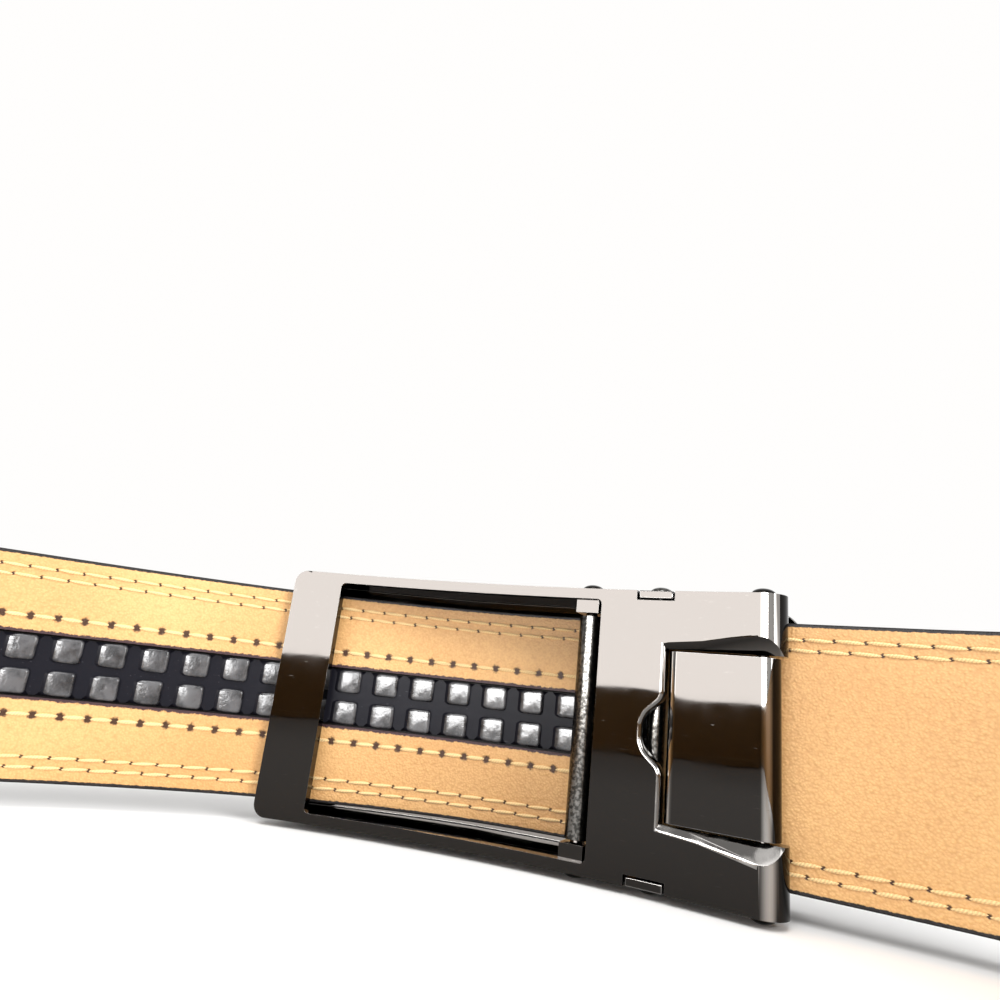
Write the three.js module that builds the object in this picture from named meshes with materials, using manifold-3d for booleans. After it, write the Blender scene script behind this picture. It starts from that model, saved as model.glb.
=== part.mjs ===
// Leather ratchet belt, fastened into its whole loop and standing on its lower edge.
// Millimetres, +Z up. The buckle is at the -Y side of the loop, with its outer face towards -Y.
import * as THREE from "three";
import { ConvexGeometry } from "three/addons/geometries/ConvexGeometry.js";
import { mergeVertices } from "three/addons/utils/BufferGeometryUtils.js";
import Module from "manifold-3d";

// Clearances between pieces
const fit = 0.3; // between touching pieces
const headFit = 0.2; // under a rivet head

// Strap
const strapWidth = 35;
const leatherWall = 1.6; // outer leather
const liningWall = 1.3; // inner lining
const strapSag = 0.4; // the strap runs this much lower than the middle of the buckle
const tailPast = 115; // free end past the buckle
const tailTip = 14; // length of the rounded tip
const fixedMargin = 1.1; // strap end past the clamp bar

// Loop
const loopHalfWidth = 122;
const loopDepth = 352; // plate of the buckle to the far side
const rightShare = 0.29; // where each side of the loop runs straight back, as a share of its depth
const leftShare = 0.43;
const straightPast = 17; // strap stays straight this far past the buckle
const settleFrom = 0.05; // the strap sinks to the table between these shares of the depth
const settleTo = 0.7;

// Buckle plate
const plateLength = 81.5;
const plateWall = 1.8;
const plateBend = 164.5; // radius of its inner face
const plateCorner = 2.2;
const barWidth = 8.7; // solid bar at the end where the free end enters
const railWidth = 1.6; // above and below the window
const clampLength = 26.4; // solid part at the clamp's end
const windowCorner = 0.8;

// Outer case
const caseWall = 1.4;
const sideWall = 1.2;
const caseDepth = 14.3; // inner face of the case below the plate's inner face
const caseTaper = 4.5; // the case is shallower by this at the entry
const caseTaperFrom = -5;
const caseCorner = 3;
const tabLength = 5.2;
const tabIn = 17.95; // middle of the tab from the plate's end

// Pins
const pinRadius = 0.9;
const headRadius = 1.7;
const headHeight = 0.9;
const pawlPinIn = 2.55; // from the window's edge
const pawlPinDepth = 3.5;
const clampBarIn = 18.15; // from the plate's end
const clampBarDepth = 3.9;
const clampBarRadius = 1.3;
const noseRadius = 3.2; // the plate's end, rolled round the flap's pin
const round = 16; // sides of a turned piece

// Pawl
const rollerRadius = 1.8;
const rollerHalf = 16.4;
const lugWall = 1.9;
const lugGap = 0.4;
const lugTop = 0.9; // lugs start this far below the plate's inner face
const lugDrop = 1.9; // lug below the centre of its pin
const tongueReach = 4.4; // the tip lies this far past its pin
const tongueHalf = 4.2;
const tongueShoulder = 12;
const tongueRoot = 1.7;
const tongueTip = 1.1;
const tongueDip = 0.2; // the tip lies this far below the tops of the teeth

// Clamp flap
const flapHalf = 11.7;
const flapLength = 12.65; // free edge to the pin
const flapWall = 1.4;
const flapTop = 0.35; // depth of its face at the free edge
const barrelRadius = 1.9;
const recessFlare = 3.1; // the recess is wider by this at the plate's end
const recessDrop = 2.2;
const notchDepth = 3.4;
const notchOuter = 5.2;
const notchInner = 2.1;
const clampSlope = 1.628; // degrees between the clamped strap and the plate over the clamp bar
const noseDrop = 1.5; // nose below the centre of its pin
const noseBack = 2.95;

// Clamp bed
const bedWall = 0.8;
const bedLength = 18.5;
const bedFlange = 13.5;

// Ratchet track
const trackLength = 383;
const trackFromTip = 18;
const trackHalf = 4.6;
const trackBase = 0.6;
const trackSunk = 0.1; // tops of the teeth below the lining's face
const toothPitch = 6.5;
const toothLength = 4.5;
const toothSlope = 0.5;
const toothBack = 0.1;
const rowGap = 1.3;
const grooveFloor = 0.12; // what is left of the teeth in the groove between the rows

// Steps along bent pieces
const plateStep = 8;
const strapStep = 9;
const tipSteps = 7;

const strapWall = leatherWall + fit + liningWall;

// The buckle is as high as the strap, the clamp bed's flanges and the case's walls need.
const plateHalf = strapWidth / 2 + strapSag + fit + bedWall + fit + sideWall;
const plateHeight = 2 * plateHalf;
const plateEnd = plateLength / 2;
const tabAt = plateEnd - tabIn;
const pawlPinAt = plateEnd - clampLength - pawlPinIn;
const clampBarAt = plateEnd - clampBarIn;
const flapPinAt = plateEnd - noseRadius;
const flapPinDepth = noseRadius;
const wallInner = plateHalf - sideWall;
const innerHalf = wallInner - fit;
const headTop = plateHalf + headFit + headHeight;
const radians = THREE.MathUtils.degToRad;
const smooth = THREE.MathUtils.smoothstep;

const wasm = await Module();
wasm.setup();

// Solids. A flat piece is drawn as along, out, z: along the plate or the strap, outwards from
// the body, and up.

function solid(geometry) {
  const plain = geometry.index ? geometry.toNonIndexed() : geometry.clone();
  plain.deleteAttribute("normal");
  plain.deleteAttribute("uv");
  const merged = mergeVertices(plain, 1e-4);
  return new wasm.Manifold(
    new wasm.Mesh({
      numProp: 3,
      vertProperties: merged.attributes.position.array,
      triVerts: new Uint32Array(merged.index.array),
    }),
  );
}

function geometryOf(body) {
  const mesh = body.getMesh();
  const geometry = new THREE.BufferGeometry();
  geometry.setAttribute("position", new THREE.BufferAttribute(new Float32Array(mesh.vertProperties), 3));
  geometry.setIndex(new THREE.BufferAttribute(new Uint32Array(mesh.triVerts), 1));
  return geometry;
}

function outline(points) {
  return new THREE.Shape(points.map(([a, b]) => new THREE.Vector2(a, b)));
}

// An outline in along and out, pulled up from one height to another.
function upright(shape, low, high) {
  const geometry = new THREE.ExtrudeGeometry(shape, {
    depth: high - low,
    bevelEnabled: false,
    curveSegments: 4,
  });
  return solid(geometry.translate(0, 0, low));
}

// An outline in along and z, given a thickness outwards from a depth.
function sheet(shape, depth, wall) {
  const geometry = new THREE.ExtrudeGeometry(shape, {
    depth: wall,
    bevelEnabled: false,
    curveSegments: 4,
  });
  return solid(geometry.rotateX(Math.PI / 2).translate(0, depth + wall, 0));
}

function block(along, out, z) {
  const geometry = new THREE.BoxGeometry(along[1] - along[0], out[1] - out[0], z[1] - z[0]);
  geometry.translate((along[0] + along[1]) / 2, (out[0] + out[1]) / 2, (z[0] + z[1]) / 2);
  return solid(geometry);
}

function rod(at, depth, radius, half) {
  const geometry = new THREE.CylinderGeometry(radius, radius, 2 * half, round);
  return solid(geometry.rotateX(Math.PI / 2).translate(at, depth, 0));
}

function roundedRectangle(left, right, low, high, radius) {
  const shape = new THREE.Shape();
  shape.absarc(left + radius, low + radius, radius, Math.PI, 1.5 * Math.PI);
  shape.absarc(right - radius, low + radius, radius, 1.5 * Math.PI, 2 * Math.PI);
  shape.absarc(right - radius, high - radius, radius, 0, 0.5 * Math.PI);
  shape.absarc(left + radius, high - radius, radius, 0.5 * Math.PI, Math.PI);
  return shape;
}

function mirrored(make) {
  return make(1).add(make(-1));
}

// A span of heights on one side of the middle, side being 1 or -1.
function span(side, near, far) {
  return side > 0 ? [near, far] : [-far, -near];
}

// Bending. Long faces are first split at equal steps, so that they can follow a curve.

function crossing(a, b, along) {
  const [low, high] = a.x < b.x ? [a, b] : [b, a];
  const share = (along - low.x) / (high.x - low.x);
  const point = low.clone().lerp(high, share);
  point.x = along;
  return point;
}

function half(polygon, along, side) {
  const kept = [];
  polygon.forEach((a, i) => {
    const b = polygon[(i + 1) % polygon.length];
    if ((a.x - along) * side >= 0) kept.push(a);
    if ((a.x - along) * (b.x - along) < 0) kept.push(crossing(a, b, along));
  });
  return kept;
}

// The triangle's parts between the equal steps.
function parts(triangle, step) {
  const done = [];
  let rest = triangle;
  for (;;) {
    const xs = rest.map((point) => point.x);
    const along = (Math.floor(Math.min(...xs) / step + 1e-6) + 1) * step;
    if (along >= Math.max(...xs) - 1e-6) return [...done, rest];
    done.push(half(rest, along, -1));
    rest = half(rest, along, 1);
  }
}

function bent(body, step, place) {
  const source = geometryOf(body).toNonIndexed().attributes.position;
  const corners = [];
  for (let i = 0; i < source.count; i += 3) {
    const triangle = [0, 1, 2].map((k) => new THREE.Vector3().fromBufferAttribute(source, i + k));
    for (const part of parts(triangle, step)) {
      for (let k = 2; k < part.length; k += 1) corners.push(part[0], part[k - 1], part[k]);
    }
  }
  const points = corners.map((point) => place(point.x, point.y, point.z));
  return new THREE.BufferGeometry().setFromPoints(points);
}

// A place on the curved buckle.
function onPlate(along, depth, z = 0) {
  const angle = along / plateBend;
  const radius = plateBend + depth;
  return new THREE.Vector3(-radius * Math.sin(angle), plateBend - radius * Math.cos(angle), z);
}

function depthOnPlate(point) {
  return Math.hypot(point.x, point.y - plateBend) - plateBend;
}

function alongPlate(point) {
  return Math.atan2(-point.x, plateBend - point.y) * plateBend;
}

// The strap's route, seen from above, as the line of its inner face. It starts at the clamped end,
// goes round the loop clockwise, passes through the buckle and ends with the free end outside
// the clamped one.

function direction(heading) {
  return new THREE.Vector2(Math.cos(heading), Math.sin(heading));
}

function outwards(heading) {
  return new THREE.Vector2(-Math.sin(heading), Math.cos(heading));
}

// One smooth stretch between two stations, each with a place and a heading.
function stretch(from, to) {
  const chord = from.at.distanceTo(to.at);
  const quarter = (to.heading - from.heading) / 4;
  const reach = chord / (3 * Math.cos(quarter) ** 2);
  return new THREE.CubicBezierCurve(
    from.at,
    from.at.clone().addScaledVector(direction(from.heading), reach),
    to.at.clone().addScaledVector(direction(to.heading), -reach),
    to.at,
  );
}

const clampHeading = Math.PI - clampBarAt / plateBend - radians(clampSlope);
const strapUnderBar = onPlate(clampBarAt, clampBarDepth + clampBarRadius + fit);
const underBar = new THREE.Vector2(strapUnderBar.x, strapUnderBar.y);
const fixedEnd = {
  at: underBar.addScaledVector(direction(clampHeading), -fixedMargin),
  heading: clampHeading,
};
const clampRun = plateEnd - clampBarAt + fixedMargin;
const fixedExit = {
  at: fixedEnd.at.clone().addScaledVector(direction(clampHeading), clampRun + straightPast),
  heading: clampHeading,
};
const bedStack = strapWall + fit + bedWall + fit;
const tailInClamp = {
  at: fixedEnd.at.clone().addScaledVector(outwards(clampHeading), bedStack),
  heading: clampHeading - 2 * Math.PI,
};

// The pass through the buckle, from the strap outside it to the clamp: along as a share of the
// plate's length, depth as a share of the case's, and the slope against the plate in degrees.
const pass = [
  { along: -0.6055, depth: -0.0479, slope: 18.81 },
  { along: -0.4195, depth: 0.2684, slope: 14.09 },
  { along: -0.3033, depth: 0.429, slope: 12.39 },
  { along: -0.0605, depth: 0.661, slope: 5.78 },
  { along: 0.0628, depth: 0.7103, slope: 1.78 },
];
const passStations = pass.map(({ along, depth, slope }) => {
  const place = onPlate(along * plateLength, depth * caseDepth);
  const bend = (along * plateLength) / plateBend;
  return {
    at: new THREE.Vector2(place.x, place.y),
    heading: radians(slope) - Math.PI - bend,
  };
});

const rightSide = { at: new THREE.Vector2(-loopHalfWidth, rightShare * loopDepth), heading: Math.PI / 2 };
const farSide = { at: new THREE.Vector2(0, loopDepth), heading: 0 };
const leftSide = { at: new THREE.Vector2(loopHalfWidth, leftShare * loopDepth), heading: -Math.PI / 2 };
const stations = [fixedEnd, fixedExit, rightSide, farSide, leftSide, ...passStations, tailInClamp];

const route = new THREE.CurvePath();
stations.slice(1).forEach((station, i) => route.add(stretch(stations[i], station)));

const loopLength = route.getLength();
const samples = []; // the route at every millimetre or so: place, heading and distance run
const count = Math.round(loopLength);
for (let i = 0; i <= count; i += 1) {
  samples.push({ at: route.getPoint(i / count), run: (loopLength * i) / count });
}
samples.forEach((sample, i) => {
  const a = samples[Math.max(0, i - 1)].at;
  const b = samples[Math.min(count, i + 1)].at;
  sample.heading = Math.atan2(b.y - a.y, b.x - a.x);
});
samples[0].heading = clampHeading;
samples[count].heading = clampHeading;

// The free end lies outside the clamped one and comes close to it once clear of the buckle.
const tailRun = clampRun + tailPast;
for (const under of samples.filter((sample) => sample.run > 0.5 && sample.run <= tailRun)) {
  const near = smooth(under.run, clampRun + straightPast / 2, clampRun + 3 * straightPast);
  const offset = THREE.MathUtils.lerp(bedStack, strapWall + fit, near);
  const at = under.at.clone().addScaledVector(outwards(under.heading), offset);
  const last = samples.at(-1);
  samples.push({ at, heading: under.heading, run: last.run + at.distanceTo(last.at) });
}
const strapLength = samples.at(-1).run;

const plateMiddle = headTop;
const strapMiddle = plateMiddle - strapSag;
const settle = strapMiddle - strapWidth / 2;

function onStrap(run, out, z) {
  let i = samples.findIndex((sample) => sample.run >= run);
  if (i < 0) i = samples.length - 1;
  if (i === 0) i = 1;
  const a = samples[i - 1];
  const b = samples[i];
  const share = (run - a.run) / (b.run - a.run);
  const at = a.at.clone().lerp(b.at, share);
  let turn = b.heading - a.heading;
  if (turn > Math.PI) turn -= 2 * Math.PI;
  if (turn < -Math.PI) turn += 2 * Math.PI;
  const heading = a.heading + turn * share;
  at.addScaledVector(outwards(heading), out);
  const sunk = settle * smooth(at.y, settleFrom * loopDepth, settleTo * loopDepth);
  return new THREE.Vector3(at.x, at.y, strapMiddle - sunk + z);
}

function onPlateRaised(along, depth, z) {
  return onPlate(along, depth, z + plateMiddle);
}

// Back frame

function backFrame() {
  const windowHalf = plateHalf - railWidth;
  const windowStart = -plateEnd + barWidth;
  const windowEnd = plateEnd - clampLength;
  const plate = roundedRectangle(-plateEnd, flapPinAt, -plateHalf, plateHalf, plateCorner);
  plate.holes.push(roundedRectangle(windowStart, windowEnd, -windowHalf, windowHalf, windowCorner));
  const squareEnd = [flapPinAt - 2 * plateCorner, flapPinAt];
  return sheet(plate, 0, plateWall)
    .add(block(squareEnd, [0, plateWall], [-plateHalf, plateHalf]))
    .add(mirrored(nose))
    .add(mirrored(lug))
    .subtract(mirrored(tabNotch))
    .subtract(fingerNotch())
    .subtract(recess())
    .subtract(mirrored(flare))
    .subtract(rod(pawlPinAt, pawlPinDepth, pinRadius + fit, plateHeight))
    .subtract(rod(flapPinAt, flapPinDepth, pinRadius + fit, plateHeight));
}

// The plate's end on one side of the flap, rolled round the flap's pin.
function nose(side) {
  const shape = new THREE.Shape();
  shape.moveTo(flapPinAt - noseBack, plateWall / 2);
  shape.lineTo(flapPinAt - plateWall, plateWall / 2);
  shape.lineTo(flapPinAt - plateWall, 0);
  shape.absarc(flapPinAt, flapPinDepth, noseRadius, -Math.PI / 2, 0);
  shape.lineTo(plateEnd, flapPinDepth + noseDrop);
  shape.lineTo(flapPinAt - noseBack, flapPinDepth + noseDrop);
  const geometry = new THREE.ExtrudeGeometry(shape, {
    depth: plateHalf - flapHalf,
    bevelEnabled: false,
    curveSegments: 6,
  });
  return solid(geometry.translate(0, 0, side > 0 ? flapHalf : -plateHalf));
}

// The ear that holds the pawl's pin inside the window, hung from the rail.
function lug(side) {
  const inner = rollerHalf + lugGap;
  const along = [pawlPinAt - rollerRadius, pawlPinAt + rollerRadius];
  const ear = block(along, [lugTop, pawlPinDepth + lugDrop], span(side, inner, inner + lugWall));
  return ear.add(block(along, [lugTop, plateWall], span(side, inner, plateHalf - railWidth / 2)));
}

function tabNotch(side) {
  const along = [tabAt - tabLength / 2 - fit, tabAt + tabLength / 2 + fit];
  return block(along, [-1, plateWall + 1], span(side, innerHalf, plateHalf + 1));
}

function fingerNotch() {
  const edge = flapEdge();
  const shape = outline([
    [edge - notchDepth, -notchInner],
    [edge + fit, -notchOuter],
    [edge + fit, notchOuter],
    [edge - notchDepth, notchInner],
  ]);
  return sheet(shape, -1, plateWall + 2);
}

// Free edge of the flap.
function flapEdge() {
  return flapPinAt - flapLength;
}

function recess() {
  const half = flapHalf + fit;
  return block([flapEdge() - fit, plateEnd + 1], [-1, caseDepth], [-half, half]);
}

// The sloped wall of the recess, which opens out towards the plate's end.
function flare(side) {
  const half = flapHalf + fit;
  const start = flapEdge() - fit;
  const end = plateEnd + 1;
  const section = (along, wide, deep) => [
    [along, -1, half - 1],
    [along, -1, half + wide * (1 + 1 / Math.max(deep, 1))],
    [along, 0, half + wide],
    [along, deep, half],
    [along, deep, half - 1],
  ];
  const corners = [...section(start, fit, flapTop), ...section(end, recessFlare, recessDrop)];
  return solid(new ConvexGeometry(corners.map(([a, b, c]) => new THREE.Vector3(a, b, c * side))));
}

// Front case

// Depth of the case's inner face along the buckle.
function caseFloor(along) {
  return caseDepth - caseTaper * smooth(-along, -caseTaperFrom, plateEnd + plateStep);
}

function floorLine(extra) {
  const line = [];
  for (let i = 0; i <= 12; i += 1) {
    const along = plateLength * (i / 12 - 0.5);
    line.push([along, caseFloor(along) + extra]);
  }
  return line;
}

function frontCase() {
  const face = upright(outline([...floorLine(0), ...floorLine(caseWall).reverse()]), -plateHalf, plateHalf);
  const corners = roundedRectangle(-plateEnd, plateEnd, -plateHalf, plateHalf, caseCorner);
  return face
    .add(mirrored(caseSide))
    .intersect(sheet(corners, -1, caseDepth + caseWall + 2))
    .subtract(rod(pawlPinAt, pawlPinDepth, pinRadius + fit, plateHeight))
    .subtract(rod(clampBarAt, clampBarDepth, pinRadius + fit, plateHeight));
}

// A side wall with its tab, which rises through the notch in the plate.
function caseSide(side) {
  const top = plateWall + fit;
  const start = -plateEnd + caseCorner;
  const end = flapPinAt - noseBack - fit;
  const floor = floorLine(caseWall / 2).filter(([along]) => along > start && along < end);
  const tab = [tabAt - tabLength / 2, tabAt + tabLength / 2];
  const shape = outline([
    [start, top + caseCorner],
    [start + caseCorner, top],
    [tab[0], top],
    [tab[0], fit / 2],
    [tab[1], fit / 2],
    [tab[1], top],
    [end, top],
    [end, caseFloor(end) + caseWall / 2],
    ...floor.reverse(),
    [start, caseFloor(start) + caseWall / 2],
  ]);
  const [low, high] = span(side, wallInner, plateHalf);
  return upright(shape, low, high);
}

// Pins

// A pin with a domed head at each end and, where it is a bar, a thicker middle.
function pin(middleRadius, middleHalf) {
  const end = plateHalf + headFit;
  const steps = 4;
  const half = [];
  if (middleRadius > pinRadius) {
    half.push([middleRadius, 0], [middleRadius, middleHalf], [pinRadius, middleHalf]);
  } else {
    half.push([pinRadius, 0]);
  }
  half.push([pinRadius, end]);
  for (let i = 0; i < steps; i += 1) {
    const angle = (i / steps) * (Math.PI / 2);
    half.push([headRadius * Math.cos(angle), end + headHeight * Math.sin(angle)]);
  }
  const profile = [
    [0, -end - headHeight],
    ...half.slice(1).reverse().map(([radius, z]) => [radius, -z]),
    ...half.slice(1),
    [0, end + headHeight],
  ];
  const points = profile.map(([radius, z]) => new THREE.Vector2(radius, z));
  return new THREE.LatheGeometry(points, round).rotateX(Math.PI / 2);
}

// Pawl

const tipAlong = pawlPinAt + tongueReach;
const passing = samples.filter((sample) => sample.run < loopLength && sample.run > loopLength - plateLength);
const underTip = passing.reduce((best, sample) => {
  const miss = Math.abs(alongPlate(sample.at) - tipAlong);
  return miss < best.miss ? { miss, sample } : best;
}, { miss: Infinity }).sample;
const tipDepth = depthOnPlate(underTip.at) + trackSunk + tongueDip;

function pawl() {
  const tip = new THREE.Vector2(tipAlong, tipDepth);
  const pivot = new THREE.Vector2(pawlPinAt, pawlPinDepth);
  const arm = tip.clone().sub(pivot);
  const side = new THREE.Vector2(-arm.y, arm.x).normalize();
  const at = (share, off) => pivot.clone().addScaledVector(arm, share).addScaledVector(side, off);
  const tongue = (from, to) => {
    const near = THREE.MathUtils.lerp(tongueRoot, tongueTip, from) / 2;
    const far = THREE.MathUtils.lerp(tongueRoot, tongueTip, to) / 2;
    return new THREE.Shape([at(from, near), at(to, far), at(to, -far), at(from, -near)]);
  };
  const beyond = block([0, plateEnd], [tipDepth, 2 * caseDepth], [-plateHalf, plateHalf]);
  return rod(pawlPinAt, pawlPinDepth, rollerRadius, rollerHalf)
    .add(upright(tongue(0, 1.05), -tongueHalf, tongueHalf).subtract(beyond))
    .add(upright(tongue(0, 0.6), -tongueShoulder, tongueShoulder))
    .subtract(rod(pawlPinAt, pawlPinDepth, pinRadius + fit, plateHeight));
}

// Clamp flap

function clampFlap() {
  const edge = flapEdge();
  const barrelTop = flapPinDepth - barrelRadius;
  const shape = outline([
    [edge, flapTop],
    [flapPinAt, barrelTop],
    [flapPinAt, barrelTop + flapWall],
    [edge, flapTop + flapWall],
  ]);
  return upright(shape, -flapHalf, flapHalf)
    .add(rod(flapPinAt, flapPinDepth, barrelRadius, flapHalf))
    .subtract(rod(flapPinAt, flapPinDepth, pinRadius + fit, plateHeight));
}

// Clamp bed, drawn along the clamped strap

function clampBed() {
  const inner = innerHalf - bedWall;
  const out = strapWall + fit;
  const start = fixedEnd.at;
  const bar = onPlate(clampBarAt, clampBarDepth);
  const offset = new THREE.Vector2(bar.x, bar.y).sub(start);
  const barRun = offset.dot(direction(clampHeading));
  const barOut = offset.dot(outwards(clampHeading));
  const ear = pinRadius + 2 * fit;
  const flange = (side) => {
    const shape = outline([
      [-fit, out],
      [barRun - ear, barOut - ear],
      [barRun + ear, barOut - ear],
      [bedFlange, out - strapWall / 2],
      [bedFlange, out + bedWall],
      [-fit, out + bedWall],
    ]);
    const [low, high] = span(side, inner, innerHalf);
    return upright(shape, low, high);
  };
  return block([-fit, bedLength], [out, out + bedWall], [-innerHalf, innerHalf])
    .add(mirrored(flange))
    .subtract(rod(barRun, barOut, pinRadius + fit, plateHeight));
}

// Strap

// Runs at equal steps between two ends, both included.
function steps(from, to, step) {
  const runs = [from];
  for (let run = (Math.floor(from / step) + 1) * step; run < to - 1; run += step) {
    if (run > from + 1) runs.push(run);
  }
  return [...runs, to];
}

// A band along the strap. Each section has a run, an inner and an outer depth, and a half-height.
function band(sections) {
  const corners = sections.flatMap(({ run, inner, outer, half }) => [
    onStrap(run, inner, -half),
    onStrap(run, outer, -half),
    onStrap(run, outer, half),
    onStrap(run, inner, half),
  ]);
  const last = corners.length - 4;
  const faces = [0, 2, 1, 0, 3, 2, last, last + 1, last + 2, last, last + 2, last + 3];
  for (let i = 0; i < last; i += 4) {
    for (let k = 0; k < 4; k += 1) {
      const next = (k + 1) % 4;
      faces.push(i + k, i + next, i + 4 + next, i + k, i + 4 + next, i + 4 + k);
    }
  }
  const geometry = new THREE.BufferGeometry().setFromPoints(corners);
  geometry.setIndex(faces);
  return solid(geometry);
}

// The strap's whole outline between two depths, with its rounded tip.
function leather(inner, outer) {
  const straight = steps(0, strapLength - tailTip, strapStep);
  const sections = straight.map((run) => ({ run, inner, outer, half: strapWidth / 2 }));
  for (let i = 1; i <= tipSteps; i += 1) {
    const angle = (i / (tipSteps + 0.5)) * (Math.PI / 2);
    const run = strapLength - tailTip * (1 - Math.sin(angle));
    sections.push({ run, inner, outer, half: (strapWidth / 2) * Math.cos(angle) });
  }
  return band(sections);
}

// The track's teeth are in mesh with the pawl: a gap lies under its tip.
const trackEnd = strapLength - trackFromTip;
const toothCount = Math.floor((trackLength - toothPitch) / toothPitch);
const gapRun = underTip.run;
const stepsAhead = Math.floor((trackEnd - gapRun - toothPitch / 2) / toothPitch);
const lastGap = gapRun + stepsAhead * toothPitch;
const trackStart = lastGap - toothCount * toothPitch;
const trackStop = lastGap + toothPitch / 2;

function lining() {
  const slot = steps(trackStart - fit, trackStop + fit, strapStep);
  const sections = slot.map((run) => ({ run, inner: -1, outer: strapWall, half: trackHalf + fit }));
  return leather(0, liningWall).subtract(band(sections));
}

function track() {
  const outer = liningWall;
  const base = outer - trackBase;
  const top = trackSunk;
  const sections = [{ run: trackStart, inner: base, outer, half: trackHalf }];
  for (let i = 0; i < toothCount; i += 1) {
    const start = trackStart + (i + 0.5) * toothPitch - toothLength / 2;
    const stop = start + toothLength;
    sections.push({ run: start, inner: base, outer, half: trackHalf });
    sections.push({ run: start + toothSlope, inner: top, outer, half: trackHalf });
    sections.push({ run: stop - toothBack, inner: top, outer, half: trackHalf });
    sections.push({ run: stop, inner: base, outer, half: trackHalf });
  }
  sections.push({ run: trackStop, inner: base, outer, half: trackHalf });
  const groove = steps(trackStart - 1, trackStop + 1, toothPitch);
  const channel = groove.map((run) => ({ run, inner: -1, outer: base - grooveFloor, half: rowGap / 2 }));
  return band(sections).subtract(band(channel));
}

// Assembly

const finishes = {
  darkMetal: { color: 0x4a4846, roughness: 0.15, metalness: 1 },
  roughMetal: { color: 0x6a6866, roughness: 0.4, metalness: 1 },
  blackLeather: { color: 0x1b1a1a, roughness: 0.55, metalness: 0 },
  tanLeather: { color: 0xd8a468, roughness: 0.7, metalness: 0 },
  blackPlastic: { color: 0x15151a, roughness: 0.25, metalness: 0 },
};
const materials = Object.fromEntries(
  Object.entries(finishes).map(([name, finish]) => [name, new THREE.MeshStandardMaterial(finish)]),
);

const belt = new THREE.Group();
const buckle = new THREE.Group();
const strap = new THREE.Group();
belt.add(buckle, strap);

function piece(group, name, geometry, material) {
  geometry.computeVertexNormals();
  const mesh = new THREE.Mesh(geometry, material);
  mesh.name = name;
  group.add(mesh);
  return mesh;
}

function pinAt(name, along, depth, middleRadius = pinRadius) {
  const mesh = piece(buckle, name, pin(middleRadius, innerHalf - bedWall - fit), materials.darkMetal);
  mesh.position.copy(onPlateRaised(along, depth, 0));
}

piece(buckle, "back_frame", bent(backFrame(), plateStep, onPlateRaised), materials.darkMetal);
piece(buckle, "front_case", bent(frontCase(), plateStep, onPlateRaised), materials.darkMetal);
piece(buckle, "clamp_flap", bent(clampFlap(), plateStep, onPlateRaised), materials.darkMetal);
piece(buckle, "pawl", bent(pawl(), plateStep, onPlateRaised), materials.roughMetal);
pinAt("pawl_pin", pawlPinAt, pawlPinDepth);
pinAt("clamp_bar", clampBarAt, clampBarDepth, clampBarRadius);
pinAt("flap_pin", flapPinAt, flapPinDepth);
const bedPlace = (run, out, z) => {
  const at = fixedEnd.at.clone();
  at.addScaledVector(direction(clampHeading), run).addScaledVector(outwards(clampHeading), out);
  return new THREE.Vector3(at.x, at.y, z + plateMiddle);
};
piece(buckle, "clamp_bed", bent(clampBed(), bedLength, bedPlace), materials.darkMetal);

piece(strap, "strap_outer", geometryOf(leather(liningWall + fit, strapWall)), materials.blackLeather);
piece(strap, "strap_lining", geometryOf(lining()), materials.tanLeather);
piece(strap, "ratchet_track", geometryOf(track()), materials.blackPlastic);

// The origin is under the middle of the whole belt, on the surface that it stands on.
const extent = new THREE.Box3().setFromObject(belt);
const middle = extent.getCenter(new THREE.Vector3());
belt.position.set(-middle.x, -middle.y, -extent.min.z);

export default belt;
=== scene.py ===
import math

import bmesh
import bpy
from mathutils import Matrix, Vector
from mathutils.geometry import interpolate_bezier


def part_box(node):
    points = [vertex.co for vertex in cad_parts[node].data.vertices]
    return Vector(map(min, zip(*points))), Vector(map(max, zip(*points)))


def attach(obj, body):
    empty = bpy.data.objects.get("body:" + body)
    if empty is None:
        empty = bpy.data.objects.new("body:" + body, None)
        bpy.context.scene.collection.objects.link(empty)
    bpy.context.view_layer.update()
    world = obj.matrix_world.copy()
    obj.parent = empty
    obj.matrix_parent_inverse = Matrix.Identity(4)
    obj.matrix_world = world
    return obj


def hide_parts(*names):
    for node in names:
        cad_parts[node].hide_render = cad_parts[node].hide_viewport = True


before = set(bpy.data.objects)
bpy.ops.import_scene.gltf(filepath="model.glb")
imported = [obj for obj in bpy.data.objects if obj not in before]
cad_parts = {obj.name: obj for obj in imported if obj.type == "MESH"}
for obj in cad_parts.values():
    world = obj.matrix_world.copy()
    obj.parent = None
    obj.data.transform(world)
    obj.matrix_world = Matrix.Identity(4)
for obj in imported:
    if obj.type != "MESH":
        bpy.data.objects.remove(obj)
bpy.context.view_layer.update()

# The room: the belt stands on a pale table in a pale room. Soft panels over the loop and at its
# side light the leather. A wide bright one past the loop's far side is there for the polished
# buckle to reflect, and lights nothing else.
mm = 0.001

room = bpy.data.worlds.new("pale_room")
bpy.context.scene.world = room
room.use_nodes = True
room_light = room.node_tree.nodes["Background"]
room_light.inputs["Color"].default_value = (1.0, 0.99, 0.98, 1)
room_light.inputs["Strength"].default_value = 1.0
bpy.context.scene.view_settings.view_transform = "Standard"

bpy.ops.object.select_all(action="DESELECT")
bpy.ops.mesh.primitive_plane_add(size=6, location=(0, 0, -0.1 * mm))
table = bpy.context.object
table.name = "table"
pale = bpy.data.materials.new("pale_table")
pale.use_nodes = True
pale_shader = pale.node_tree.nodes["Principled BSDF"]
pale_shader.inputs["Base Color"].default_value = (0.86, 0.86, 0.855, 1)
pale_shader.inputs["Roughness"].default_value = 0.75
table.data.materials.append(pale)


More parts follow.
